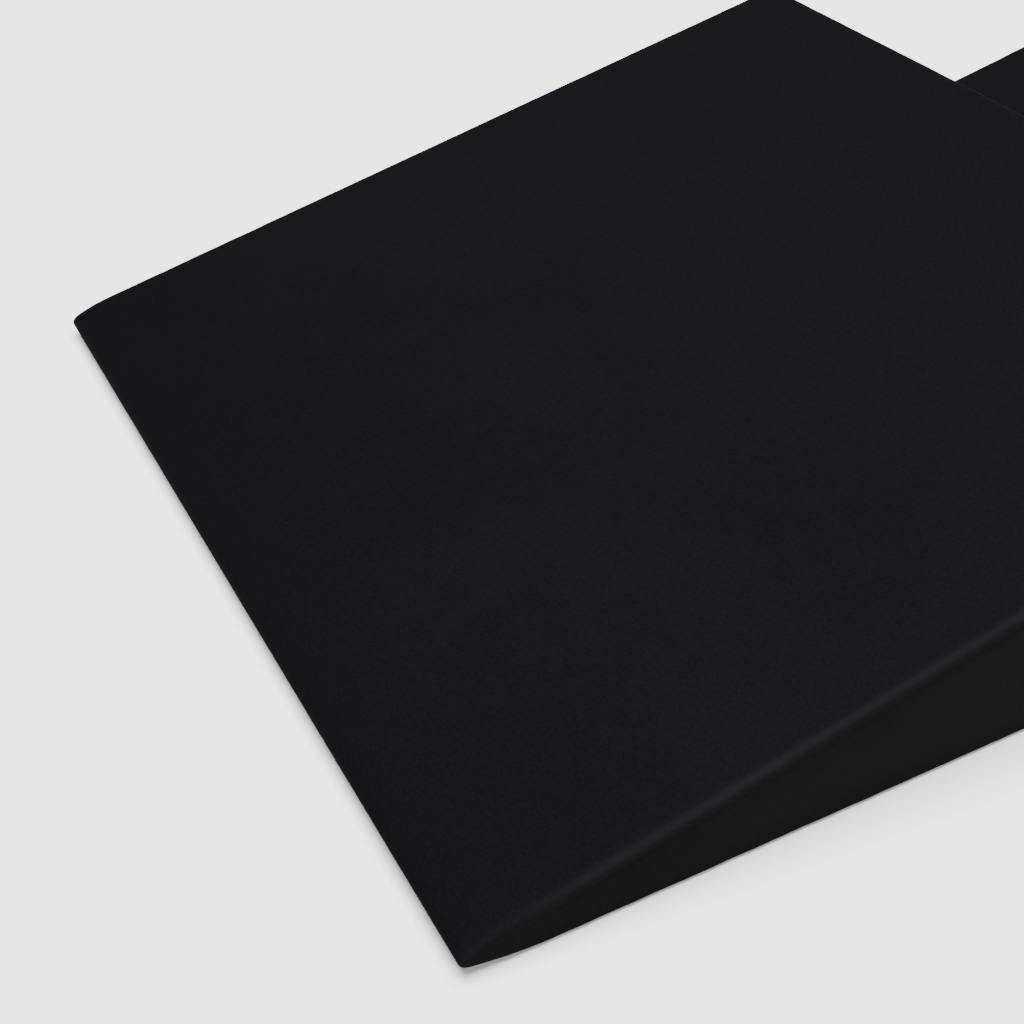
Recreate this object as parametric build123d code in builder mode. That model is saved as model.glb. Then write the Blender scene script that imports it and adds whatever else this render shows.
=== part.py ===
"""Pair of slant boards: two firm foam wedges in zipped covers, standing in line on the floor.

Each wedge rises from a thin rounded nose to a high back. +X runs up the slopes, +Y across
them and +Z up. The origin is on the floor, under the middle of the pair.
"""

import os
from math import atan2, cos, degrees, sin

from build123d import *

os.makedirs("parts", exist_ok=True)

# Wedge, millimetres
width = 356.0  # across the slope
length = 339.0  # nose to back
height = 89.5  # at the back
slope_foot = 10.2  # height at which the straight slope would reach the nose
nose_radius = 3.6
nose_lift = 1.6  # how far the underside rises to the nose
nose_run = 36.0  # the top dips and the underside rises over this length
cover = 1.5  # thickness of the cloth
wedge_gap = 70.0  # floor between the two wedges

# Zip fastener across the back of each cover. Depths are from the back face, outward positive
zip_height = 44.0  # of its middle line above the floor
zip_half = 138.0  # half its length
window_margin = 2.0  # the window in the cloth is longer than the zip by this at each end
window_half_height = 5.0
tape_height = 12.0
tape_thickness = 0.7
tape_inner_edge = 1.0  # from the middle line
tape_overrun = 5.0  # the tape runs on past the last tooth
row_inner_edge = 0.6  # from the middle line
row_outer_edge = 3.2
row_proud = 0.3  # the rows stand out of the back face by this
stop_length = 3.0
channel_depth = 2.7  # groove in the foam that the slider's inner plate runs in
channel_half_height = 13.0
channel_margin = 8.0

# Slider and its pull
slider_length = 12.0
slider_width = 8.8
slider_corner = 2.0
plate = 1.0
slide_clearance = 0.35
neck_thickness = 0.5
neck_length = 3.0
flange_thickness = 0.8
flange_length = 9.0
lug_length = 4.0
lug_thickness = 0.8
lug_gap = 3.4
pin_radius = 0.6
pin_out = 3.6  # the pull's pin stands out of the back face by this
eye_bore = 0.9
eye_radius = 1.6
eye_width = 2.7
tab_thickness = 1.2
tab_neck = 4.0  # from the pin to the wide part of the pull
tab_length = 22.0
tab_width = 5.5
tab_hole_length = 9.0
tab_hole_width = 2.4

# Worked out from those
slope = atan2(height - slope_foot, length)
seam_height = nose_lift + nose_radius  # the seam runs along the tip of the nose
inner_width = width - 2 * cover
lug_top = pin_out + lug_thickness
pull_reach = pin_out + eye_radius
total_length = 2 * length + wedge_gap + pull_reach
front_nose = -total_length / 2
rear_nose = front_nose + length + wedge_gap
slider_rest = -zip_half + stop_length + 0.5 + slider_length / 2
slider_travel = -2 * slider_rest


def slope_height(x, inset=0.0):
    """Height of the straight slope, set in by inset square to it."""
    return slope_foot + (height - slope_foot) * x / length - inset / cos(slope)


def side_plane(nose_x, y):
    """Upright plane across the width: its X is the wedge's length, its Y is height."""
    return Plane(origin=(nose_x, y, 0), x_dir=(1, 0, 0), z_dir=(0, -1, 0))


def back_plane(nose_x, y=0.0):
    """Plane of the back face, centred on the zip: its X is +Y of the pair, its Y is height."""
    return Plane(origin=(nose_x + length, y, zip_height), x_dir=(0, 1, 0), z_dir=(1, 0, 0))


def draw_profile(inset, mode=Mode.ADD):
    """Side outline of the wedge, set in all round by inset, in the open sketch."""
    low = (nose_radius, nose_lift + inset)
    tip = (inset, seam_height)
    high = (nose_radius, seam_height + nose_radius - inset)
    back = length - inset
    with BuildLine(mode=Mode.PRIVATE) as outline:
        Line((back, inset), (nose_run, inset))
        TangentArc((nose_run, inset), low, tangent=(-1, 0))
        ThreePointArc(low, tip, high)
        TangentArc(
            (nose_run, slope_height(nose_run, inset)),
            high,
            tangent=(-cos(slope), -sin(slope)),
        )
        Line((nose_run, slope_height(nose_run, inset)), (back, slope_height(back, inset)))
        Line((back, slope_height(back, inset)), (back, inset))
    make_face(outline.line.edges(), mode=mode)


def write(piece, name):
    """Label a finished piece and write it to its own file."""
    piece.part.label = name
    export_step(piece.part, f"parts/{name}.step")


def make_foam_core(prefix, nose_x):
    """Firm foam wedge, with a shallow groove behind the zip."""
    with BuildPart() as foam_core:
        with BuildSketch(side_plane(nose_x, inner_width / 2)):
            draw_profile(cover)
        extrude(amount=inner_width)
        with BuildSketch(back_plane(nose_x).offset(-cover - channel_depth)):
            Rectangle(2 * (zip_half + channel_margin), 2 * channel_half_height)
        extrude(amount=channel_depth, mode=Mode.SUBTRACT)
    write(foam_core, f"{prefix}_foam_core")


def make_top_cover(prefix, nose_x):
    """Cloth over the slope, from the seam on the nose to the top of the back."""
    back_top = slope_height(length - cover, cover)
    with BuildPart() as top_cover:
        with BuildSketch(side_plane(nose_x, inner_width / 2)):
            draw_profile(0)
            draw_profile(cover, mode=Mode.SUBTRACT)
            Rectangle(length, seam_height, align=(Align.MIN, Align.MIN), mode=Mode.SUBTRACT)
            with Locations((length, 0)):
                Rectangle(cover, back_top, align=(Align.MAX, Align.MIN), mode=Mode.SUBTRACT)
        extrude(amount=inner_width)
    write(top_cover, f"{prefix}_top_cover")


def make_base_panel(prefix, nose_x):
    """Non-slip cloth under the wedge, up to the seam on the nose."""
    with BuildPart() as base_panel:
        with BuildSketch(side_plane(nose_x, inner_width / 2)):
            draw_profile(0)
            draw_profile(cover, mode=Mode.SUBTRACT)
            with Locations((0, seam_height)):
                Rectangle(length, height, align=(Align.MIN, Align.MIN), mode=Mode.SUBTRACT)
            with Locations((nose_run, cover)):
                Rectangle(length, height, align=(Align.MIN, Align.MIN), mode=Mode.SUBTRACT)
        extrude(amount=inner_width)
    write(base_panel, f"{prefix}_base_panel")


def make_side_panels(prefix, nose_x):
    """Near (-Y) and far (+Y) sides, each the whole outline in cloth."""
    for side, outer_y in (("near", -width / 2 + cover), ("far", width / 2)):
        with BuildPart() as side_panel:
            with BuildSketch(side_plane(nose_x, outer_y)):
                draw_profile(0)
            extrude(amount=cover)
        write(side_panel, f"{prefix}_{side}_side_panel")


def make_back_panels(prefix, nose_x):
    """Upper and lower halves of the back, with the window for the zip between them."""
    upper_height = slope_height(length - cover, cover) - zip_height
    lower_height = zip_height - cover
    for level, panel_height, anchor in (
        ("upper", upper_height, Align.MIN),
        ("lower", lower_height, Align.MAX),
    ):
        with BuildPart() as back_panel:
            with BuildSketch(back_plane(nose_x).offset(-cover)):
                Rectangle(inner_width, panel_height, align=(Align.CENTER, anchor))
                Rectangle(2 * (zip_half + window_margin), 2 * window_half_height, mode=Mode.SUBTRACT)
            extrude(amount=cover)
        write(back_panel, f"{prefix}_back_panel_{level}")


def make_zip(prefix, nose_x):
    """Tapes sewn behind the back panels, the two rows of teeth, and the end stops."""
    row_depth = cover + row_proud
    row_height = row_outer_edge - row_inner_edge
    row_middle = (row_outer_edge + row_inner_edge) / 2
    tape_middle = tape_inner_edge + (tape_height - tape_inner_edge) / 2
    for level, sign in (("upper", 1), ("lower", -1)):
        with BuildPart() as tape:
            with BuildSketch(back_plane(nose_x).offset(-cover - tape_thickness)):
                with Locations((0, sign * tape_middle)):
                    Rectangle(2 * (zip_half + tape_overrun), tape_height - tape_inner_edge)
            extrude(amount=tape_thickness)
        write(tape, f"{prefix}_zip_tape_{level}")
        with BuildPart() as teeth:
            with BuildSketch(back_plane(nose_x).offset(-cover)):
                with Locations((0, sign * row_middle)):
                    Rectangle(2 * (zip_half - stop_length), row_height)
            extrude(amount=row_depth)
        write(teeth, f"{prefix}_zip_teeth_{level}")
    with BuildPart() as stops:
        with BuildSketch(back_plane(nose_x).offset(-cover)):
            with GridLocations(2 * zip_half - stop_length, 2 * row_middle, 2, 2):
                Rectangle(stop_length, row_height)
        extrude(amount=row_depth)
    write(stops, f"{prefix}_zip_stops")


def make_slider(prefix, nose_x):
    """Slider at the closed end: two plates, the neck that parts the rows, flanges, lugs, pin."""
    face = back_plane(nose_x, slider_rest)
    outer_plate = row_proud + slide_clearance
    inner_plate = -cover - tape_thickness - slide_clearance
    flange_foot = -cover + slide_clearance
    with BuildPart() as slider:
        for depth in (outer_plate, inner_plate - plate):
            with BuildSketch(face.offset(depth)):
                RectangleRounded(slider_length, slider_width, slider_corner)
            extrude(amount=plate)
        with BuildSketch(face.offset(inner_plate)):
            with Locations((neck_length - slider_length / 2, 0)):
                Rectangle(neck_length, neck_thickness)
        extrude(amount=outer_plate - inner_plate)
        with BuildSketch(face.offset(flange_foot)):
            with GridLocations(0, slider_width - flange_thickness, 1, 2):
                Rectangle(flange_length, flange_thickness)
        extrude(amount=outer_plate - flange_foot)
        with BuildSketch(face.offset(outer_plate + plate)):
            with GridLocations(0, lug_gap + lug_thickness, 1, 2):
                Rectangle(lug_length, lug_thickness)
        extrude(amount=lug_top - outer_plate - plate)
        with BuildSketch(pin_plane(nose_x, lug_gap + 2 * lug_thickness)):
            Circle(pin_radius)
        extrude(amount=lug_gap + 2 * lug_thickness)
    write(slider, f"{prefix}_zip_slider")


def pin_plane(nose_x, span):
    """Plane square to the pull's pin, at the lower end of a stretch of that span."""
    centre = (nose_x + length + pin_out, slider_rest, zip_height - span / 2)
    return Plane(origin=centre, x_dir=(1, 0, 0), z_dir=(0, 0, 1))


def make_pull(prefix, nose_x):
    """Pull tab with its eye on the slider's pin, lying flat along the zip."""
    with BuildPart() as pull:
        with BuildSketch(pin_plane(nose_x, eye_width)):
            Circle(eye_radius)
        extrude(amount=eye_width)
        with BuildSketch(back_plane(nose_x, slider_rest).offset(pin_out - tab_thickness / 2)):
            with Locations((tab_neck / 2 + 0.5, 0)):
                Rectangle(tab_neck + 1, eye_width)
            with Locations((tab_neck + tab_length / 2, 0)):
                RectangleRounded(tab_length, tab_width, tab_width * 0.3)
            with Locations((tab_neck + tab_length - tab_hole_length, 0)):
                SlotOverall(tab_hole_length, tab_hole_width, mode=Mode.SUBTRACT)
        extrude(amount=tab_thickness)
        with BuildSketch(pin_plane(nose_x, eye_width)):
            Circle(eye_bore)
        extrude(amount=eye_width, mode=Mode.SUBTRACT)
    write(pull, f"{prefix}_zip_pull")


for prefix, nose_x in (("front", front_nose), ("rear", rear_nose)):
    make_foam_core(prefix, nose_x)
    make_top_cover(prefix, nose_x)
    make_base_panel(prefix, nose_x)
    make_side_panels(prefix, nose_x)
    make_back_panels(prefix, nose_x)
    make_zip(prefix, nose_x)
    make_slider(prefix, nose_x)
    make_pull(prefix, nose_x)

print(f"slope {degrees(slope):.2f} degrees, length over all {total_length:.1f} mm")
print(f"slider rests at y {slider_rest:.1f} mm and travels {slider_travel:.1f} mm")
for prefix, nose_x in (("front", front_nose), ("rear", rear_nose)):
    back_x = nose_x + length
    print(f"{prefix} nose x {nose_x:.1f}, back x {back_x:.1f}, pull pin x {back_x + pin_out:.1f} mm")
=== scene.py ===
"""A pair of slant boards: firm foam wedges in matte black zipped covers, in line on a floor."""

import logging
import math
from dataclasses import dataclass
from enum import Enum
from typing import Any, Sequence

import bpy
import numpy as np
from mathutils import Matrix, Vector, noise
from mathutils.kdtree import KDTree


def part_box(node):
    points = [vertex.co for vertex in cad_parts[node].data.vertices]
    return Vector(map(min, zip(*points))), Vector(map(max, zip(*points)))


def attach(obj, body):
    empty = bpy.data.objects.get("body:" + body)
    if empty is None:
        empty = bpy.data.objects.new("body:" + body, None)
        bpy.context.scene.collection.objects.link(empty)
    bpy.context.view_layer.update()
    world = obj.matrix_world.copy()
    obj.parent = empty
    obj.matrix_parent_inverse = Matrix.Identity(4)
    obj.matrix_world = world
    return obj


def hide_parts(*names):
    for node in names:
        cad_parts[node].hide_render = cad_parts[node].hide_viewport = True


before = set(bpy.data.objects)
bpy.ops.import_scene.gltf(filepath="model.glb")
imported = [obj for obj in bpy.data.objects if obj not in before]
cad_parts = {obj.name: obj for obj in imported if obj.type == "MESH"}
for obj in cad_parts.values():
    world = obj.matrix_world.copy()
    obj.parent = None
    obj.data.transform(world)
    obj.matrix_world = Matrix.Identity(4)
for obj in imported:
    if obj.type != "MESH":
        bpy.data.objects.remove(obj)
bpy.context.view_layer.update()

log = logging.getLogger("slant_boards")

MM = 0.001

# Sockets of a Mix node that mixes colours, by number.
MIX_SHARE, MIX_FIRST, MIX_SECOND, MIX_RESULT = 0, 6, 7, 2

RIB_SPACING = 0.314  # units between a wave texture's ribs, at a scale of one

SAME_POINT = 0.001 * MM  # points of a CAD shape closer than this are one point
SAME_PLANE = 3.0  # degrees between faces of a CAD shape that are taken as one
SHARP = 35.0  # degrees at an edge that is softened

# Degrees at an edge below which each kind of piece is shaded smooth.
METAL_SMOOTH = 40.0
FOAM_SMOOTH = 35.0
CLOTH_SMOOTH = 50.0
TOOTH_SMOOTH = 60.0


class Axis(Enum):
    """Axes of the shared frame, as the unit vector of each."""

    X = (1.0, 0.0, 0.0)
    Y = (0.0, 1.0, 0.0)
    Z = (0.0, 0.0, 1.0)


class Panel(Enum):
    """Cloth panels that a cover is cut from, each with its number in the block's faces."""

    TOP = 0
    BASE = 1
    NEAR_SIDE = 2
    FAR_SIDE = 3
    BACK_UPPER = 4
    BACK_LOWER = 5
    WINDOW = 6


class Board(Enum):
    """The two boards, by the prefix of their bodies, nodes and pieces."""

    FRONT = "front"
    REAR = "rear"


class Level(Enum):
    """The zip's two rows of teeth and two tapes, by the end of their nodes' names."""

    UPPER = "upper"
    LOWER = "lower"


# Small tools


def linear(colour: str) -> tuple[float, float, float, float]:
    """Turn an sRGB hex colour into linear RGBA.

    Args:
        colour: The colour as "#rrggbb".

    Returns:
        Linear red, green and blue, and an alpha of one.
    """
    parts = [int(colour[i : i + 2], 16) / 255 for i in (1, 3, 5)]
    turned = [c / 12.92 if c <= 0.04045 else ((c + 0.055) / 1.055) ** 2.4 for c in parts]
    return (turned[0], turned[1], turned[2], 1.0)


def add_node(
    tree: bpy.types.NodeTree,
    kind: str,
    settings: dict[str, Any] | None = None,
    inputs: dict[str | int, Any] | None = None,
) -> bpy.types.Node:
    """Add a node to a tree, with its settings and links.

    Args:
        tree: The material's or world's node tree.
        kind: The node's type name.
        settings: Properties to set on the node.
        inputs: For each input, by name or number, a value or the socket that feeds it.

    Returns:
        The new node.
    """
    node = tree.nodes.new(kind)
    for name, value in (settings or {}).items():
        setattr(node, name, value)
    for name, value in (inputs or {}).items():
        if isinstance(value, bpy.types.NodeSocket):
            tree.links.new(value, node.inputs[name])
        else:
            node.inputs[name].default_value = value
    return node


def new_material(
    name: str,
) -> tuple[bpy.types.Material, bpy.types.NodeTree, bpy.types.NodeSocket]:
    """Make a node material with nothing in it but the place on the object.

    Args:
        name: The material's name.

    Returns:
        The material, its node tree and the socket of the place on the object.
    """
    material = bpy.data.materials.new(name)
    material.use_nodes = True
    tree = material.node_tree
    tree.nodes.clear()
    return material, tree, add_node(tree, "ShaderNodeTexCoord").outputs["Object"]


def scale_and_add(
    tree: bpy.types.NodeTree,
    value: bpy.types.NodeSocket,
    factor: float,
    extra: float | bpy.types.NodeSocket,
) -> bpy.types.NodeSocket:
    """Multiply a socket's value and add to it.

    Args:
        tree: The material's node tree.
        value: The socket that gives the value.
        factor: What the value is multiplied by.
        extra: What is added then.

    Returns:
        The socket of the result.
    """
    node = add_node(tree, "ShaderNodeMath", {"operation": "MULTIPLY_ADD"}, {
        0: value, 1: factor, 2: extra})
    return node.outputs[0]


def mix_colours(
    tree: bpy.types.NodeTree,
    share: bpy.types.NodeSocket,
    first: str | bpy.types.NodeSocket,
    second: str,
) -> bpy.types.NodeSocket:
    """Mix two colours.

    Args:
        tree: The material's node tree.
        share: How much of the second colour there is, from 0 to 1.
        first: The first colour, as "#rrggbb" or the socket that gives it.
        second: The second colour, as "#rrggbb".

    Returns:
        The socket of the mixed colour.
    """
    node = add_node(tree, "ShaderNodeMix", {"data_type": "RGBA"}, {
        MIX_SHARE: share,
        MIX_FIRST: linear(first) if isinstance(first, str) else first,
        MIX_SECOND: linear(second)})
    return node.outputs[MIX_RESULT]


def add_surface(tree: bpy.types.NodeTree, inputs: dict[str | int, Any]) -> None:
    """Add the surface shader and the material's output.

    Args:
        tree: The material's node tree.
        inputs: For each of the shader's inputs, a value or the socket that feeds it.
    """
    surface = add_node(tree, "ShaderNodeBsdfPrincipled", None, inputs)
    add_node(tree, "ShaderNodeOutputMaterial", None, {"Surface": surface.outputs[0]})


def select_only(piece: bpy.types.Object | None = None) -> None:
    """Leave only this piece selected and active, or nothing.

    Args:
        piece: The object to select, if any.
    """
    if bpy.context.object is not None and bpy.context.object.mode != "OBJECT":
        bpy.ops.object.mode_set(mode="OBJECT")
    bpy.ops.object.select_all(action="DESELECT")
    if piece is not None:
        piece.select_set(True)
        bpy.context.view_layer.objects.active = piece


def fix_place(piece: bpy.types.Object) -> None:
    """Move a piece's place, turn and size into its mesh."""
    select_only(piece)
    bpy.ops.object.transform_apply(location=True, rotation=True, scale=True)


def apply_modifiers(piece: bpy.types.Object) -> None:
    """Apply every modifier on a piece, first to last."""
    select_only(piece)
    for name in [modifier.name for modifier in piece.modifiers]:
        bpy.ops.object.modifier_apply(modifier=name)


def smooth_below(piece: bpy.types.Object, degrees: float) -> None:
    """Shade a piece smooth across edges that turn by less than an angle."""
    select_only(piece)
    bpy.ops.object.shade_smooth_by_angle(angle=math.radians(degrees))


def read_points(piece: bpy.types.Object) -> np.ndarray:
    """Give a mesh's points as an array of one row for each."""
    points = np.empty(len(piece.data.vertices) * 3)
    piece.data.vertices.foreach_get("co", points)
    return points.reshape(-1, 3)


def write_points(piece: bpy.types.Object, points: np.ndarray) -> None:
    """Put an array of points back into a mesh."""
    piece.data.vertices.foreach_set("co", points.ravel())
    piece.data.update()


def read_normals(piece: bpy.types.Object) -> np.ndarray:
    """Give the normal at each point of a mesh."""
    return np.array([vertex.normal[:] for vertex in piece.data.vertices])


def duplicate(piece: bpy.types.Object, name: str) -> bpy.types.Object:
    """Copy a piece with a mesh of its own.

    Args:
        piece: The piece to copy.
        name: The copy's name.

    Returns:
        The copy, linked into the scene.
    """
    copy = piece.copy()
    copy.data = piece.data.copy()
    copy.name = name
    copy.data.name = name
    bpy.context.scene.collection.objects.link(copy)
    return copy


def joined(pieces: Sequence[bpy.types.Object], name: str) -> bpy.types.Object:
    """Join pieces into the first of them, one at a time to keep their order.

    Args:
        pieces: The pieces, which are used up.
        name: The name of the result.

    Returns:
        The joined piece.
    """
    whole = pieces[0]
    for piece in pieces[1:]:
        select_only(whole)
        piece.select_set(True)
        bpy.ops.object.join()
    whole.name = name
    whole.data.name = name
    return whole


def repeated(piece: bpy.types.Object, steps: Sequence[tuple[int, Vector]]) -> bpy.types.Object:
    """Repeat a piece in rows with applied Array modifiers.

    Args:
        piece: The piece to repeat.
        steps: For each row, how many there are and the step from one to the next.

    Returns:
        The same piece, now the whole group.
    """
    for count, step in steps:
        row = piece.modifiers.new("row", "ARRAY")
        row.count = count
        row.use_relative_offset = False
        row.use_constant_offset = True
        row.constant_offset_displace = step
    apply_modifiers(piece)
    return piece


def refined(node: str, name: str, edge: float) -> bpy.types.Object:
    """Copy a CAD node's shape and soften its edges, as tumbling does to small castings.

    Args:
        node: The CAD node whose shape is copied.
        name: The new piece's name.
        edge: The width of the softened edges, in metres.

    Returns:
        The new piece.
    """
    piece = duplicate(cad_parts[node], name)
    piece.parent = None
    piece.matrix_world = Matrix.Identity(4)
    piece.hide_render = False
    for key in [k for k in piece.keys() if k.startswith("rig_")]:
        del piece[key]
    select_only(piece)
    bpy.ops.object.mode_set(mode="EDIT")
    bpy.ops.mesh.select_all(action="SELECT")
    bpy.ops.mesh.remove_doubles(threshold=SAME_POINT)
    bpy.ops.mesh.dissolve_limited(angle_limit=math.radians(SAME_PLANE))
    bpy.ops.object.mode_set(mode="OBJECT")
    bevel = piece.modifiers.new("soft_edges", "BEVEL")
    bevel.width = edge
    bevel.segments = 3
    bevel.limit_method = "ANGLE"
    bevel.angle_limit = math.radians(SHARP)
    apply_modifiers(piece)
    smooth_below(piece, METAL_SMOOTH)
    return piece


# Finishes


@dataclass(frozen=True)
class CoatedCloth:
    """Polyester cloth with a matte polyurethane face, calendered to a fine pebble grain.

    It looks near black and soft: almost no shine and a faint cool tint. Its edges carry a paler
    line that is a painted highlight as well as rubbed wear, and its pebble grain is painted shade.
    """

    name: str = "matte_coated_cloth"
    deep: str = "#060507"
    pale: str = "#0C0B0F"
    # Painted highlight along the top edges, which also stands for rubbed wear.
    rubbed: str = "#17161A"
    grain_mm: float = 0.9
    cloud_mm: float = 70.0
    roughness: float = 0.7
    shine: float = 0.013
    bump_mm: float = 0.18
    middle_tone: float = 0.75
    # Painted shade in the grain: the colour darkens towards each pebble's rim.
    pebble_shade: float = -0.7
    cloud_tone: float = 0.4
    least_wear_and_highlight: float = 0.5
    cloud_wear_and_highlight: float = 0.6

    def build(self) -> bpy.types.Material:
        """Build the material, reading the cover's edge attribute for the painted highlight and
        rubbed wear along the edges.
        """
        material, tree, place = new_material(self.name)
        cloud = add_node(tree, "ShaderNodeTexNoise", None, {
            "Vector": place, "Scale": 1 / (self.cloud_mm * MM), "Detail": 4.0, "Roughness": 0.55})
        pebble = add_node(tree, "ShaderNodeTexVoronoi", {"feature": "SMOOTH_F1"}, {
            "Vector": place, "Scale": 1 / (self.grain_mm * MM), "Smoothness": 0.6})
        fibre = add_node(tree, "ShaderNodeTexNoise", None, {
            "Vector": place, "Scale": 4 / (self.grain_mm * MM), "Detail": 3.0})
        edge = add_node(tree, "ShaderNodeAttribute", {"attribute_name": "edge"})
        # Painted shade: the pebble grain darkens the colour towards each pebble's rim, and the
        # cloud mottles it.
        tone = scale_and_add(tree, pebble.outputs["Distance"], self.pebble_shade, self.middle_tone)
        mottle_and_pebble_shade = scale_and_add(tree, cloud.outputs["Fac"], self.cloud_tone, tone)
        body = mix_colours(tree, mottle_and_pebble_shade, self.deep, self.pale)
        # Painted highlight: the edge attribute lightens the cloth towards the rubbed colour, made
        # uneven by the cloud like wear.
        uneven_wear_and_highlight = scale_and_add(tree, cloud.outputs["Fac"], self.cloud_wear_and_highlight, self.least_wear_and_highlight)
        wear_and_highlight_share = add_node(tree, "ShaderNodeMath", {"operation": "MULTIPLY"}, {
            0: edge.outputs["Fac"], 1: uneven_wear_and_highlight})
        coloured = mix_colours(tree, wear_and_highlight_share.outputs[0], body, self.rubbed)
        uneven = add_node(tree, "ShaderNodeMapRange", None, {
            "Value": fibre.outputs["Fac"], "To Min": self.roughness - 0.08,
            "To Max": self.roughness + 0.1})
        relief = add_node(tree, "ShaderNodeBump", None, {
            "Strength": 0.5, "Distance": self.bump_mm * MM, "Height": pebble.outputs["Distance"]})
        add_surface(tree, {
            "Base Color": coloured, "Roughness": uneven.outputs["Result"],
            "Specular IOR Level": self.shine, "Normal": relief.outputs["Normal"]})
        return material


@dataclass(frozen=True)
class WovenCloth:
    """Plain-woven polyester: a dull grid of crossing threads, used for tape and the base."""

    name: str
    dark: str
    light: str
    thread_mm: float
    roughness: float = 0.85
    shine: float = 0.2
    bump_mm: float = 0.12
    fluff_tone: float = 0.5

    def build(self) -> bpy.types.Material:
        """Build the material from two crossed sets of ribs, one along the width."""
        material, tree, place = new_material(self.name)
        scale = RIB_SPACING / (self.thread_mm * MM)
        warp = add_node(tree, "ShaderNodeTexWave", {"bands_direction": "Y"}, {
            "Vector": place, "Scale": scale, "Distortion": 0.6, "Detail Scale": 2.0})
        weft = add_node(tree, "ShaderNodeTexWave", {"bands_direction": "DIAGONAL"}, {
            "Vector": place, "Scale": scale, "Distortion": 0.6, "Detail Scale": 2.0})
        weave = add_node(tree, "ShaderNodeMath", {"operation": "MULTIPLY"}, {
            0: warp.outputs["Fac"], 1: weft.outputs["Fac"]})
        fluff = add_node(tree, "ShaderNodeTexNoise", None, {
            "Vector": place, "Scale": 1.5 / (self.thread_mm * MM), "Detail": 4.0})
        tone = scale_and_add(tree, fluff.outputs["Fac"], self.fluff_tone, weave.outputs[0])
        coloured = mix_colours(tree, tone, self.dark, self.light)
        relief = add_node(tree, "ShaderNodeBump", None, {
            "Strength": 0.8, "Distance": self.bump_mm * MM, "Height": tone})
        add_surface(tree, {
            "Base Color": coloured, "Roughness": self.roughness,
            "Specular IOR Level": self.shine, "Normal": relief.outputs["Normal"]})
        return material


@dataclass(frozen=True)
class Grained:
    """A dull or satin solid with a fine even grain: foam, rubber, nylon or thread."""

    name: str
    dark: str
    light: str
    grain_mm: float
    roughness: float
    shine: float = 0.3
    bump_mm: float = 0.05

    def build(self) -> bpy.types.Material:
        """Build the material from one noise for its colour, roughness and relief."""
        material, tree, place = new_material(self.name)
        grain = add_node(tree, "ShaderNodeTexNoise", None, {
            "Vector": place, "Scale": 1 / (self.grain_mm * MM), "Detail": 5.0, "Roughness": 0.6})
        coloured = mix_colours(tree, grain.outputs["Fac"], self.dark, self.light)
        uneven = add_node(tree, "ShaderNodeMapRange", None, {
            "Value": grain.outputs["Fac"], "To Min": self.roughness - 0.1,
            "To Max": self.roughness + 0.1})
        relief = add_node(tree, "ShaderNodeBump", None, {
            "Strength": 0.6, "Distance": self.bump_mm * MM, "Height": grain.outputs["Fac"]})
        add_surface(tree, {
            "Base Color": coloured, "Roughness": uneven.outputs["Result"],
            "Specular IOR Level": self.shine, "Normal": relief.outputs["Normal"]})
        return material


@dataclass(frozen=True)
class EnamelledZinc:
    """Die-cast zinc under black stoving enamel: satin, with the metal bare on rubbed spots."""

    name: str = "black_enamelled_zinc"
    enamel: str = "#17171A"
    bare: str = "#8E8D8A"
    spot_mm: float = 1.6
    spots_from: float = 0.62
    spots_full: float = 0.72
    roughness: float = 0.38
    bump_mm: float = 0.02

    def build(self) -> bpy.types.Material:
        """Build the material, with noise that opens small bare spots in the enamel."""
        material, tree, place = new_material(self.name)
        spots = add_node(tree, "ShaderNodeTexNoise", None, {
            "Vector": place, "Scale": 1 / (self.spot_mm * MM), "Detail": 6.0, "Roughness": 0.7})
        rubbed = add_node(tree, "ShaderNodeMapRange", None, {
            "Value": spots.outputs["Fac"], "From Min": self.spots_from,
            "From Max": self.spots_full})
        coloured = mix_colours(tree, rubbed.outputs["Result"], self.enamel, self.bare)
        relief = add_node(tree, "ShaderNodeBump", None, {
            "Strength": 0.3, "Distance": self.bump_mm * MM, "Height": spots.outputs["Fac"]})
        add_surface(tree, {
            "Base Color": coloured, "Metallic": rubbed.outputs["Result"],
            "Roughness": self.roughness, "Normal": relief.outputs["Normal"]})
        return material


@dataclass(frozen=True)
class Finishes:
    """Every finish of the boards, built once and shared."""

    cloth: bpy.types.Material
    grip: bpy.types.Material
    rubber: bpy.types.Material
    foam: bpy.types.Material
    tape: bpy.types.Material
    coil: bpy.types.Material
    thread: bpy.types.Material
    metal: bpy.types.Material

    @classmethod
    def build(cls) -> "Finishes":
        """Build each material."""
        return cls(
            cloth=CoatedCloth().build(),
            grip=WovenCloth("non_slip_base_cloth", "#0A0A0C", "#171719", 0.9).build(),
            rubber=Grained("moulded_rubber_dots", "#0C0C0E", "#161618", 0.6, 0.7, 0.35).build(),
            foam=Grained("closed_cell_foam", "#26262A", "#3A3A3F", 1.2, 0.9, 0.2, 0.2).build(),
            tape=WovenCloth("woven_zip_tape", "#09090B", "#151517", 0.45).build(),
            coil=Grained("nylon_coil", "#0C0C0E", "#161619", 0.8, 0.5, 0.4, 0.02).build(),
            thread=Grained("twisted_thread", "#131316", "#222226", 0.25, 0.8, 0.3, 0.04).build(),
            metal=EnamelledZinc().build(),
        )


# Pieces


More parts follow.
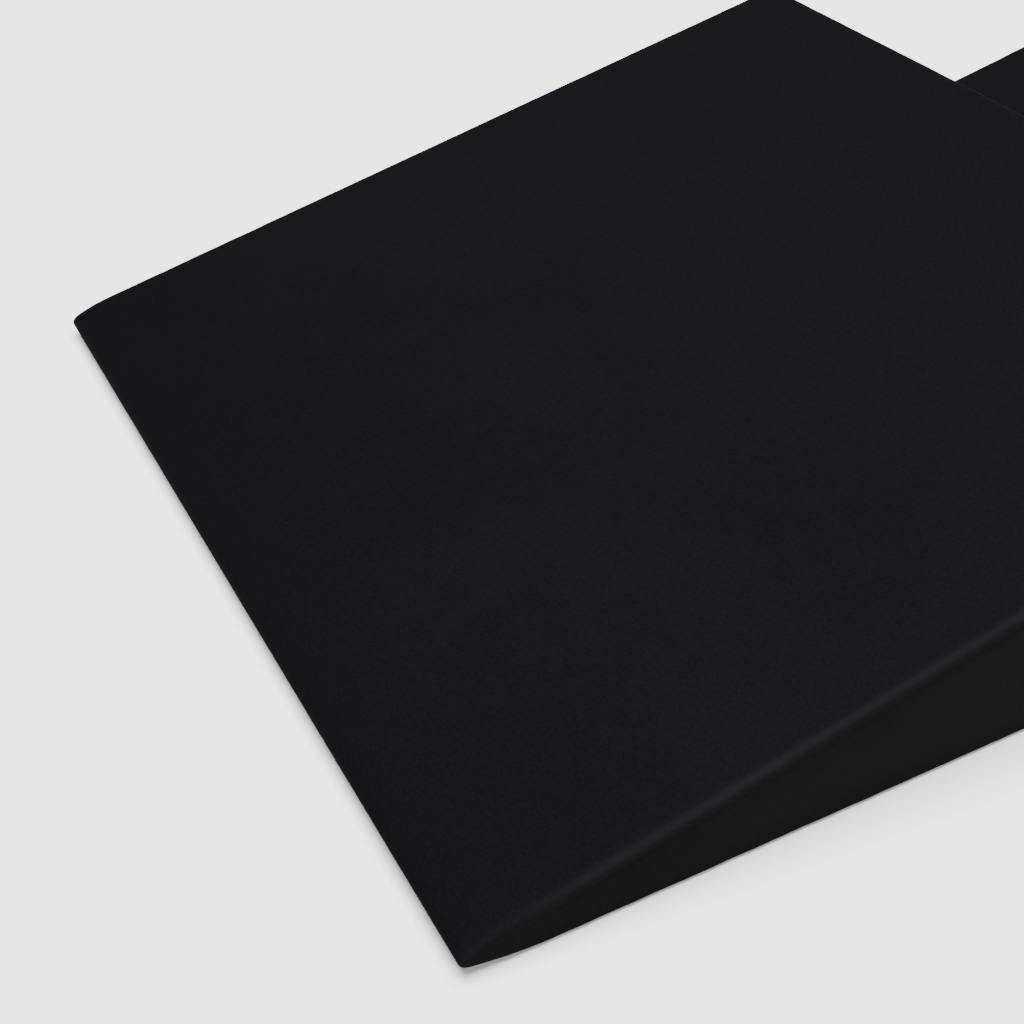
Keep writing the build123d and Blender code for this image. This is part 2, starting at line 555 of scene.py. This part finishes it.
@dataclass
class Piece:
    """A finished piece of a board, and what is kept about it."""

    thing: bpy.types.Object
    name: str
    body: str
    slot: str
    finish: bpy.types.Material
    nodes: tuple[str, ...] = ()
    fill: float | None = None

    def register(self, prefix: str) -> None:
        """Name the piece, dress it and tie it to its body.

        Args:
            prefix: The board that it belongs to, front or rear.
        """
        self.thing.name = f"{prefix}_{self.name}"
        self.thing.data.name = self.thing.name
        self.thing.data.materials.clear()
        self.thing.data.materials.append(self.finish)
        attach(self.thing, f"{prefix}_{self.body}")
        if self.nodes:
            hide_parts(*[f"{prefix}_{node}" for node in self.nodes])
        log.info("%s: %d faces", self.thing.name, len(self.thing.data.polygons))

    def moved_copy(self, step: Vector) -> "Piece":
        """Copy the piece before it is registered, with its mesh moved by a step."""
        copy = duplicate(self.thing, self.name)
        copy.data.transform(Matrix.Translation(step))
        return Piece(copy, self.name, self.body, self.slot, self.finish, self.nodes, self.fill)


@dataclass(frozen=True)
class Filling:
    """Settings of the cloth simulation that fills the cover."""

    quality: int = 6
    mass: float = 0.3
    stiffness: float = 20.0
    bending: float = 2.0
    pressure: float = 4.0
    steps: int = 20


@dataclass
class Cover:
    """The sewn cover of one wedge and the foam inside it, in metres.

    The wedge starts as a block cut into a net of faces. Each cut has a fixed share of the
    block, so seams follow the net, and the block is then drawn to the wedge's form.
    """

    low: Vector
    high: Vector
    finishes: Finishes
    slope_foot: float = 10.2 * MM
    nose_lift: float = 4.2 * MM
    nose_depth: float = 5.6 * MM
    nose_run: float = 36.0 * MM
    lift_run: float = 24.0 * MM
    sole: float = 0.5 * MM  # the cloth of the base stands on its dots by this
    edge_round: float = 3.6 * MM
    foot_round: float = 1.6 * MM  # along the floor
    tip_round: float = 2.0 * MM
    tip_run: float = 12.0 * MM
    tip_drop: float = 3.0 * MM
    nose_corner: float = 2.0 * MM
    corner_reach: float = 9.0 * MM
    most_round: float = 0.38  # of the depth, so that the nose keeps a face of its own
    net: float = 6.5 * MM
    share: float = 0.2  # of the block's height, for the rounding at the top and at the base
    cloth: float = 1.3 * MM
    crown: float = 1.6 * MM
    seam_depth: float = 0.2 * MM
    seam_width: float = 1.1 * MM
    pucker: float = 0.12 * MM
    pucker_reach: float = 9.0 * MM
    wear_and_highlight_width: float = 2.1 * MM  # half the width of the painted highlight line along an edge, also rubbed wear
    zip_height: float = 44.0 * MM
    window_half_length: float = 140.0 * MM
    window_half_height: float = 5.0 * MM
    round_cuts: tuple[float, ...] = (0.12, 0.28, 0.46, 0.64, 0.82)
    beside_round: float = 0.012  # share of the block's height between a rounding and a cut
    level_cuts: int = 13  # up the block, with the ends that the roundings take left out
    level_ends: int = 3
    lift_power: float = 1.6
    hold_beyond: float = 1.0 * MM  # the cloth is held this far beyond its roundings
    on_face: float = 0.5 * MM
    on_side: float = 0.1 * MM
    # How strong the painted highlight is at the nose and along the back's top edge.
    nose_wear_and_highlight: float = 0.3
    back_rub: float = 0.7
    pucker_ends: float = 3.0  # reaches away from a seam, where the pucker is left out
    pucker_waves: float = 130.0  # to the metre
    least_room: float = 0.25
    room_run: float = 14.0 * MM
    core_gap: float = 0.2 * MM
    groove_depth: float = 2.7 * MM
    groove_margin: float = 6.0 * MM
    groove_height: float = 26.0 * MM
    dot_pitch: float = 12.0 * MM
    dot_radius: float = 2.2 * MM
    dot_margin: float = 10.0 * MM
    dot_edge: float = 0.3 * MM
    dot_sides: int = 10
    filling: Filling = Filling()

    @property
    def length(self) -> float:
        """Length from nose to back."""
        return self.high.x - self.low.x

    @property
    def half_width(self) -> float:
        """Half the width across the slope."""
        return (self.high.y - self.low.y) / 2

    def top_height(self, x: np.ndarray) -> np.ndarray:
        """Height of the top at a distance from the nose, with the dip at the nose."""
        rise = (self.high.z - self.slope_foot) / self.length
        straight = self.slope_foot + rise * x
        nose_top = self.nose_lift + self.nose_depth
        near_nose = np.clip(1 - x / self.nose_run, 0, 1)
        near_tip = np.clip(1 - x / self.tip_run, 0, 1)
        drop = (self.slope_foot - nose_top) * near_nose**2 + self.tip_drop * near_tip**2
        return straight - drop

    def base_height(self, x: np.ndarray) -> np.ndarray:
        """Height of the underside, which rises to the nose."""
        near_nose = np.clip(1 - x / self.lift_run, 0, 1)
        return self.sole + (self.nose_lift - self.sole) * near_nose**self.lift_power

    def height_share(self, z: float) -> float:
        """Share of the block's height at which a cut lands at height z on the back face."""
        x = np.array(self.length)
        low = float(self.base_height(x)) + self.foot_round
        high = float(self.top_height(x)) - self.edge_round
        return self.share + (z - low) / (high - low) * (1 - 2 * self.share)

    def cut_block(self) -> bpy.types.Object:
        """Make the block and cut it into the net.

        Returns:
            The block, with the number of its panel on each face.
        """
        size = self.high - self.low
        middle = (self.low + self.high) / 2
        select_only()
        bpy.ops.mesh.primitive_cube_add(size=1, location=middle)
        block = bpy.context.object
        block.scale = size
        fix_place(block)
        edge = self.edge_round
        rounds = [edge * share for share in self.round_cuts] + [edge]
        inner = np.linspace(0, 1, int(size.x / self.net))[1:-1] * (size.x - 2 * edge) + edge
        along = rounds + [size.x - r for r in rounds] + list(inner) + [self.nose_run]
        inner = np.linspace(0, 1, int(size.y / self.net))[1:-1] * (size.y - 2 * edge) + edge
        across = rounds + [size.y - r for r in rounds] + list(inner)
        across += [self.half_width - self.window_half_length]
        across += [self.half_width + self.window_half_length]
        rounds = [self.share * share for share in self.round_cuts] + [self.share]
        levels = np.linspace(0, 1, self.level_cuts)[self.level_ends : -self.level_ends]
        upward = rounds + [1 - r for r in rounds] + list(levels)
        upward += [1 - self.share - self.beside_round, self.share + self.beside_round]
        for offset in (-self.window_half_height, 0.0, self.window_half_height):
            upward.append(self.height_share(self.zip_height + offset))
        bpy.ops.object.mode_set(mode="EDIT")
        for axis, places in (
            (Axis.X, [self.low.x + place for place in along]),
            (Axis.Y, [self.low.y + place for place in across]),
            (Axis.Z, [self.low.z + place * size.z for place in upward]),
        ):
            for place in places:
                bpy.ops.mesh.select_all(action="SELECT")
                on_plane = [component * place for component in axis.value]
                bpy.ops.mesh.bisect(plane_co=on_plane, plane_no=axis.value)
        bpy.ops.mesh.select_all(action="SELECT")
        bpy.ops.mesh.remove_doubles(threshold=0.02 * MM)
        bpy.ops.object.mode_set(mode="OBJECT")
        self.number_panels(block)
        return block

    def number_panels(self, block: bpy.types.Object) -> None:
        """Give each face of the block a material slot that stands for its panel."""
        for panel in Panel:
            block.data.materials.append(bpy.data.materials.new(panel.name))
        size = self.high - self.low
        zip_share = self.height_share(self.zip_height)
        window_low = self.height_share(self.zip_height - self.window_half_height)
        window_high = self.height_share(self.zip_height + self.window_half_height)
        for face in block.data.polygons:
            share = (face.center.z - self.low.z) / size.z
            from_nose = face.center.x - self.low.x
            from_back = self.high.x - face.center.x
            from_side = self.half_width - abs(face.center.y)
            nearest = min(from_nose, from_back, from_side)
            in_window = window_low < share < window_high
            in_window = in_window and abs(face.center.y) < self.window_half_length
            if face.normal.z < -0.5 and nearest > self.edge_round:
                panel = Panel.BASE
            elif share > 1 - self.share or nearest == from_nose:
                panel = Panel.TOP
            elif nearest == from_side:
                panel = Panel.NEAR_SIDE if face.center.y < 0 else Panel.FAR_SIDE
            elif in_window:
                panel = Panel.WINDOW
            else:
                panel = Panel.BACK_UPPER if share > zip_share else Panel.BACK_LOWER
            face.material_index = panel.value

    def draw_form(self, block: bpy.types.Object) -> None:
        """Draw the block's points to the wedge, and round its edges and corners."""
        points = read_points(block)
        x = points[:, 0] - self.low.x
        share = (points[:, 2] - self.low.z) / (self.high.z - self.low.z)
        middle = np.clip((share - self.share) / (1 - 2 * self.share), 0, 1)
        out_z = np.clip(1 - (1 - share) / self.share, 0, 1) - np.clip(1 - share / self.share, 0, 1)
        flat_x = np.clip(x, self.tip_round, self.length - self.edge_round)
        round_x = np.where(x < self.length / 2, self.tip_round, self.edge_round)
        out_x = (x - flat_x) / round_x
        round_y = self.foot_round + (self.edge_round - self.foot_round) * middle
        round_y += (self.nose_corner - round_y) * np.exp(-x / self.corner_reach)
        reach = np.abs(points[:, 1])
        flat = self.half_width - self.edge_round
        flat_y = np.minimum(reach / flat, 1) * (self.half_width - round_y)
        out_y = np.clip((reach - flat) / self.edge_round, 0, 1)
        far = np.maximum(np.sqrt(out_x**2 + out_y**2 + out_z**2), 1)
        x = flat_x + round_x * out_x / far
        y = np.sign(points[:, 1]) * (flat_y + round_y * out_y / far)
        top = self.top_height(x)
        base = self.base_height(x)
        foot = np.minimum(self.foot_round, self.most_round * (top - base))
        head = np.minimum(self.edge_round, self.most_round * (top - base))
        flat_z = base + foot + middle * (top - base - foot - head)
        z = flat_z + np.where(out_z > 0, head, foot) * out_z / far
        write_points(block, np.stack([x + self.low.x, y, z], axis=1))

    def stuff(self, block: bpy.types.Object) -> None:
        """Fill the cover with a cloth simulation, held at its edges and over its back.

        The foam is firm, so no point may end further out than the crown.
        """
        rest = read_points(block)
        x = rest[:, 0] - self.low.x
        margin = self.edge_round + self.hold_beyond
        held = (x < self.nose_run / 2) | (x > self.length - margin)
        held |= np.abs(rest[:, 1]) > self.half_width - margin
        on_top = np.abs(rest[:, 2] - self.top_height(x)) < self.on_face
        on_base = np.abs(rest[:, 2] - self.base_height(x)) < self.on_face
        on_side = np.abs(np.abs(rest[:, 1]) - self.half_width) < self.on_side
        clear = np.minimum(self.top_height(x) - rest[:, 2], rest[:, 2] - self.base_height(x))
        held &= ~(on_side & (clear > margin) & (x > self.nose_run) & (x < self.length - margin))
        held |= on_base & ~on_top
        pins = block.vertex_groups.new(name="held")
        pins.add([int(i) for i in np.flatnonzero(held)], 1.0, "REPLACE")
        filling = block.modifiers.new("filling", "CLOTH")
        settings = filling.settings
        settings.vertex_group_mass = pins.name
        settings.quality = self.filling.quality
        settings.mass = self.filling.mass
        settings.tension_stiffness = self.filling.stiffness
        settings.compression_stiffness = self.filling.stiffness
        settings.bending_stiffness = self.filling.bending
        settings.use_pressure = True
        settings.uniform_pressure_force = self.filling.pressure
        settings.effector_weights.gravity = 0
        for step in range(1, self.filling.steps + 1):
            bpy.context.scene.frame_set(step)
        apply_modifiers(block)
        bpy.context.scene.frame_set(1)
        moved = read_points(block) - rest
        far = np.linalg.norm(moved, axis=1, keepdims=True)
        log.info("filling moved the cloth by up to %.1f mm before the cap", far.max() / MM)
        capped = self.crown * np.tanh(far / self.crown)
        write_points(block, rest + moved * capped / np.maximum(far, 1e-9))
        block.vertex_groups.clear()

    def smooth_once(self, block: bpy.types.Object) -> None:
        """Subdivide the form once."""
        finer = block.modifiers.new("finer", "SUBSURF")
        finer.levels = 1
        finer.render_levels = 1
        apply_modifiers(block)

    def wear_and_highlight_beside(self, from_one: np.ndarray, from_other: np.ndarray) -> np.ndarray:
        """Give the painted highlight and wear, from 0 to 1, at these distances from an edge's two
        faces.
        """
        across = np.exp(-(((from_one - from_other) / self.wear_and_highlight_width) ** 2))
        off_edge = np.minimum(np.abs(from_one), np.abs(from_other))
        return across * np.exp(-((off_edge / self.wear_and_highlight_width) ** 2))

    def mark_wear_and_highlight(self, block: bpy.types.Object) -> None:
        """Store the painted highlight along the edges, partly wear from hands, from 0 to 1."""
        points = read_points(block)
        x = points[:, 0] - self.low.x
        from_side = self.half_width - np.abs(points[:, 1])
        from_top = self.top_height(x) - points[:, 2]
        sides = self.wear_and_highlight_beside(from_side, from_top) * np.clip(x / self.nose_run, self.nose_wear_and_highlight, 1)
        back = self.back_rub * self.wear_and_highlight_beside(self.length - x, from_top)
        wear_and_highlight_mask = np.maximum(sides, back)
        # The edge attribute holds the painted highlight for the cloth's colour.
        layer = block.data.attributes.new("edge", "FLOAT", "POINT")
        layer.data.foreach_set("value", wear_and_highlight_mask.astype(np.float32))

    def plan_seams(self, block: bpy.types.Object) -> None:
        """Store how far each point moves to sink the seams and pucker the cloth beside them."""
        mesh = block.data
        sides: dict[tuple[int, int], set[int]] = {}
        for face in mesh.polygons:
            for key in face.edge_keys:
                sides.setdefault(key, set()).add(face.material_index)
        window = {Panel.WINDOW.value}
        seam = sorted({
            point for key, panels in sides.items()
            if len(panels - window) > 1 for point in key
        })
        tree = KDTree(len(seam))
        for index in seam:
            tree.insert(mesh.vertices[index].co, index)
        tree.balance()
        normals = read_normals(block)
        shifts = np.zeros_like(normals)
        for index, vertex in enumerate(mesh.vertices):
            far = tree.find(vertex.co)[2]
            if far > self.pucker_ends * self.pucker_reach:
                continue
            room = self.cloth_share(vertex.co.x)
            sink = self.seam_depth * math.exp(-((far / self.seam_width) ** 2))
            wave = noise.noise(vertex.co * self.pucker_waves) * self.pucker
            wave *= math.exp(-((far / self.pucker_reach) ** 2))
            shifts[index] = normals[index] * (wave - sink) * room
        layer = mesh.attributes.new("seam_shift", "FLOAT_VECTOR", "POINT")
        layer.data.foreach_set("vector", shifts.astype(np.float32).ravel())

    def sink_seams(self, part: bpy.types.Object) -> None:
        """Move both faces of a panel's cloth by the shifts planned on the whole form."""
        layer = part.data.attributes["seam_shift"]
        shifts = np.empty(len(part.data.vertices) * 3, np.float32)
        layer.data.foreach_get("vector", shifts)
        part.data.attributes.remove(layer)
        write_points(part, read_points(part) + shifts.reshape(-1, 3))

    def cloth_share(self, x: float) -> float:
        """Share of the cloth's full thickness that there is room for at x, near the nose."""
        return min(1.0, self.least_room + max(0.0, x - self.low.x) / self.room_run)

    def weigh_room(self, piece: bpy.types.Object) -> str:
        """Give a piece a vertex group of the cloth's share at each point, and its name."""
        room = piece.vertex_groups.new(name="room")
        for vertex in piece.data.vertices:
            room.add([vertex.index], self.cloth_share(vertex.co.x), "REPLACE")
        return room.name

    def make_core(self, block: bpy.types.Object) -> Piece:
        """Make the foam core from the form, set in by the cloth, with its groove."""
        core = duplicate(block, "foam_wedge")
        inset = core.modifiers.new("inset", "DISPLACE")
        inset.mid_level = 0
        inset.strength = -(self.cloth + self.core_gap)
        inset.vertex_group = self.weigh_room(core)
        apply_modifiers(core)
        core.vertex_groups.clear()
        select_only()
        groove_face = self.high.x - self.cloth - self.core_gap
        bpy.ops.mesh.primitive_cube_add(size=1, location=(groove_face, 0, self.zip_height))
        groove = bpy.context.object
        half_length = self.window_half_length + self.groove_margin
        groove.scale = (2 * self.groove_depth, 2 * half_length, self.groove_height)
        fix_place(groove)
        cut = core.modifiers.new("groove", "BOOLEAN")
        cut.operation = "DIFFERENCE"
        cut.object = groove
        cut.solver = "EXACT"
        apply_modifiers(core)
        bpy.data.objects.remove(groove)
        smooth_below(core, FOAM_SMOOTH)
        return Piece(core, "foam_wedge", "wedge", "foam", self.finishes.foam, ("foam_core",), 1.0)

    def make_panels(self, block: bpy.types.Object) -> list[Piece]:
        """Part the form into its panels and give each the thickness of the cloth."""
        select_only(block)
        bpy.ops.object.mode_set(mode="EDIT")
        bpy.ops.mesh.select_all(action="SELECT")
        bpy.ops.mesh.separate(type="MATERIAL")
        bpy.ops.object.mode_set(mode="OBJECT")
        parts = list(bpy.context.selected_objects)
        nodes = {
            Panel.TOP: ("slope_cloth", "top_cover"),
            Panel.BASE: ("base_cloth", "base_panel"),
            Panel.NEAR_SIDE: ("near_side", "near_side_panel"),
            Panel.FAR_SIDE: ("far_side", "far_side_panel"),
            Panel.BACK_UPPER: ("back_upper", "back_panel_upper"),
            Panel.BACK_LOWER: ("back_lower", "back_panel_lower"),
        }
        pieces = []
        for part in parts:
            slot = part.material_slots[part.data.polygons[0].material_index]
            panel = Panel[slot.material.name.split(".")[0]]
            if panel is Panel.WINDOW:
                bpy.data.objects.remove(part)
                continue
            thickness = part.modifiers.new("cloth", "SOLIDIFY")
            thickness.thickness = self.cloth
            thickness.offset = -1
            thickness.use_even_offset = False
            thickness.vertex_group = self.weigh_room(part)
            apply_modifiers(part)
            part.vertex_groups.clear()
            self.sink_seams(part)
            smooth_below(part, CLOTH_SMOOTH)
            name, node = nodes[panel]
            slot_name = "grip_cloth" if panel is Panel.BASE else "cover_cloth"
            finish = self.finishes.grip if panel is Panel.BASE else self.finishes.cloth
            fill = 1.0 if panel is Panel.TOP else None
            pieces.append(Piece(part, name, "wedge", slot_name, finish, (node,), fill))
        return pieces

    def make_dots(self) -> Piece:
        """Mould the rubber dots under the base, in staggered rows."""
        pitch = self.dot_pitch
        margin = self.dot_margin
        first = Vector((self.low.x + self.nose_run + margin, self.low.y + margin, 0))
        dots = []
        for shift in (0.0, pitch / 2):
            select_only()
            bpy.ops.mesh.primitive_cylinder_add(
                vertices=self.dot_sides, radius=self.dot_radius, depth=2 * self.sole,
                location=(first.x + shift, first.y + shift, self.sole))
            dot = bpy.context.object
            fix_place(dot)
            soft = dot.modifiers.new("soft", "BEVEL")
            soft.width = self.dot_edge
            soft.limit_method = "ANGLE"
            along = int((self.high.x - margin - first.x - shift) / pitch) + 1
            across = int((self.high.y - margin - first.y - shift) / pitch) + 1
            repeated(dot, [(along, Vector((pitch, 0, 0))), (across, Vector((0, pitch, 0)))])
            dots.append(dot)
        whole = joined(dots, "grip_dots")
        smooth_below(whole, CLOTH_SMOOTH)
        return Piece(whole, "grip_dots", "wedge", "grip_cloth", self.finishes.rubber)

    def build(self) -> list[Piece]:
        """Build the panels, the dots and the core.

        Returns:
            The pieces, not yet registered.
        """
        block = self.cut_block()
        self.draw_form(block)
        self.stuff(block)
        self.smooth_once(block)
        self.mark_wear_and_highlight(block)
        core = self.make_core(block)
        self.plan_seams(block)
        return [core, *self.make_panels(block), self.make_dots()]


@dataclass
class ZipFastener:
    """The zip across the back: coil teeth, stops, slider, pull and its stitching."""

    board: Board
    finishes: Finishes
    cover: Cover
    pitch: float = 1.3 * MM
    tooth_turn: float = 7.0  # degrees
    tooth_deep: float = 0.9  # of the CAD bar
    tooth_tall: float = 0.98  # of the CAD bar
    tooth_wide: float = 0.68  # of the pitch
    tooth_round: float = 0.26  # of the pitch
    stitch_pitch: float = 3.3 * MM
    stitch_length: float = 2.6 * MM
    stitch_radius: float = 0.28 * MM
    stitch_from_window: float = 2.6 * MM

    def make_teeth(self, level: Level) -> Piece:
        """Make one row of coil teeth.

        Args:
            level: Which row.

        Returns:
            The row, which stands for its CAD bar.
        """
        name = f"zip_teeth_{level.value}"
        low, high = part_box(f"{self.board.value}_{name}")
        deep = high.x - low.x
        tall = high.z - low.z
        upper = level is Level.UPPER
        select_only()
        bpy.ops.mesh.primitive_cube_add(size=1, location=(0, 0, 0))
        tooth = bpy.context.object
        tooth.scale = (deep * self.tooth_deep, self.pitch * self.tooth_wide, tall * self.tooth_tall)
        fix_place(tooth)
        bpy.ops.object.mode_set(mode="EDIT")
        bpy.ops.mesh.select_all(action="SELECT")
        bpy.ops.mesh.bevel(offset=self.pitch * self.tooth_round, segments=3, affect="EDGES")
        bpy.ops.object.mode_set(mode="OBJECT")
        tooth.rotation_euler = (math.radians(self.tooth_turn if upper else -self.tooth_turn), 0, 0)
        shift = 0.0 if upper else self.pitch / 2
        tooth.location = (
            (low.x + high.x) / 2, low.y + self.pitch / 2 + shift, (low.z + high.z) / 2)
        fix_place(tooth)
        count = int((high.y - low.y - shift) / self.pitch)
        repeated(tooth, [(count, Vector((0, self.pitch, 0)))])
        smooth_below(tooth, TOOTH_SMOOTH)
        title = f"coil_{level.value}"
        return Piece(tooth, title, "wedge", "zip_coil", self.finishes.coil, (name,))

    def make_stitching(self) -> Piece:
        """Sew the back panels to the tapes, in one line of stitches round the window."""
        face = self.cover.high.x
        half_y = self.cover.window_half_length + self.stitch_from_window
        half_z = self.cover.window_half_height + self.stitch_from_window
        height = self.cover.zip_height
        lines = []
        for sign in (-1, 1):
            for along_y in (True, False):
                reach = half_y if along_y else half_z
                count = int(2 * reach / self.stitch_pitch)
                step = 2 * reach / count
                select_only()
                bpy.ops.mesh.primitive_uv_sphere_add(segments=8, ring_count=6, radius=1)
                stitch = bpy.context.object
                long = self.stitch_length / 2
                round_ = self.stitch_radius
                stitch.scale = (round_, long, round_) if along_y else (round_, round_, long)
                if along_y:
                    place = Vector((face, step / 2 - half_y, height + sign * half_z))
                    stride = Vector((0, step, 0))
                else:
                    place = Vector((face, sign * half_y, height - half_z + step / 2))
                    stride = Vector((0, 0, step))
                stitch.location = place
                fix_place(stitch)
                lines.append(repeated(stitch, [(count, stride)]))
        whole = joined(lines, "zip_stitching")
        bpy.ops.object.shade_smooth()
        return Piece(whole, "zip_stitching", "wedge", "zip_tape", self.finishes.thread)

    def build(self) -> list[Piece]:
        """Build the zip's pieces, except the tapes, whose CAD shape is right."""
        metal = self.finishes.metal
        pieces = [self.make_teeth(level) for level in Level]
        pieces.append(self.make_stitching())
        for node, body, edge in (
            ("zip_stops", "wedge", 0.25 * MM),
            ("zip_slider", "slider", 0.14 * MM),
            ("zip_pull", "pull", 0.18 * MM),
        ):
            piece = refined(f"{self.board.value}_{node}", node, edge)
            title = node.replace("zip_", "metal_")
            pieces.append(Piece(piece, title, body, "zip_metal", metal, (node,)))
        return pieces


# Studio


@dataclass(frozen=True)
class SoftLight:
    """A square soft light that faces the middle of the floor."""

    name: str
    place: tuple[float, float, float]
    size: float
    power: float


@dataclass(frozen=True)
class Studio:
    """Pale floor, soft lights and the camera."""

    nose_x: float
    camera_back: float = 0.099
    camera_side: float = -0.391
    camera_height: float = 0.327
    camera_turn: float = -28.0
    camera_drop: float = 37.4
    lens: float = 54.3
    sensor: float = 36.0
    nearest: float = 0.02
    floor_size: float = 14.0
    floor_drop: float = 0.2 * MM
    sky: float = 0.35
    lights: tuple[SoftLight, ...] = (
        SoftLight("overhead", (-0.15, 0.0, 2.6), 2.4, 280.0),
        SoftLight("near_side", (0.1, -2.0, 2.0), 1.0, 30.0),
    )

    def make_camera(self) -> None:
        """Place the camera at the low near corner of the front board."""
        camera = bpy.data.cameras.new("camera")
        camera.lens = self.lens
        camera.sensor_width = self.sensor
        camera.clip_start = self.nearest
        holder = bpy.data.objects.new("camera", camera)
        holder.location = (self.nose_x - self.camera_back, self.camera_side, self.camera_height)
        holder.rotation_euler = (
            math.radians(90 - self.camera_drop), 0, math.radians(self.camera_turn))
        bpy.context.scene.collection.objects.link(holder)
        bpy.context.scene.camera = holder

    def make_floor(self) -> None:
        """Lay the pale floor."""
        select_only()
        bpy.ops.mesh.primitive_plane_add(size=self.floor_size, location=(0, 0, -self.floor_drop))
        floor = bpy.context.object
        floor.name = "floor"
        material, tree, place = new_material("pale_floor")
        mottle = add_node(tree, "ShaderNodeTexNoise", None, {"Vector": place, "Scale": 3.0})
        tone = mix_colours(tree, mottle.outputs["Fac"], "#F4F4F4", "#F7F7F7")
        add_surface(tree, {"Base Color": tone, "Roughness": 0.9, "Specular IOR Level": 0.1})
        floor.data.materials.append(material)

    def make_lights(self) -> None:
        """Hang the soft lights and set the sky."""
        for soft in self.lights:
            light = bpy.data.lights.new(soft.name, "AREA")
            light.size = soft.size
            light.energy = soft.power
            holder = bpy.data.objects.new(soft.name, light)
            holder.location = soft.place
            toward = Vector() - Vector(soft.place)
            holder.rotation_euler = toward.to_track_quat("-Z", "Y").to_euler()
            bpy.context.scene.collection.objects.link(holder)
        world = bpy.data.worlds.new("studio")
        world.use_nodes = True
        background = world.node_tree.nodes["Background"]
        background.inputs["Color"].default_value = (1, 1, 1, 1)
        background.inputs["Strength"].default_value = self.sky
        bpy.context.scene.world = world

    def build(self) -> None:
        """Set up the whole studio."""
        self.make_camera()
        self.make_floor()
        self.make_lights()


def whole_box(board: Board) -> tuple[Vector, Vector]:
    """Give the low and high corners of a board's cover.

    Args:
        board: The board.

    Returns:
        The two corners.
    """
    sides = ("near_side_panel", "far_side_panel")
    boxes = [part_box(f"{board.value}_{node}") for node in sides]
    low = Vector([min(box[0][i] for box in boxes) for i in range(3)])
    high = Vector([max(box[1][i] for box in boxes) for i in range(3)])
    return low, high


def main() -> None:
    """Build the studio and both boards."""
    logging.basicConfig(level=logging.INFO, format="%(message)s")
    finishes = Finishes.build()
    front_low, front_high = whole_box(Board.FRONT)
    rear_low, _ = whole_box(Board.REAR)
    Studio(nose_x=front_low.x).build()
    cover = Cover(front_low, front_high, finishes)
    pieces = cover.build() + ZipFastener(Board.FRONT, finishes, cover).build()
    step = rear_low - front_low
    copies = [piece.moved_copy(step) for piece in pieces]
    for board, group in ((Board.FRONT, pieces), (Board.REAR, copies)):
        for piece in group:
            piece.register(board.value)
        for level in Level:
            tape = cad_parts[f"{board.value}_zip_tape_{level.value}"]
            for slot in tape.material_slots:
                slot.material = finishes.tape


if __name__ == "__main__":
    main()
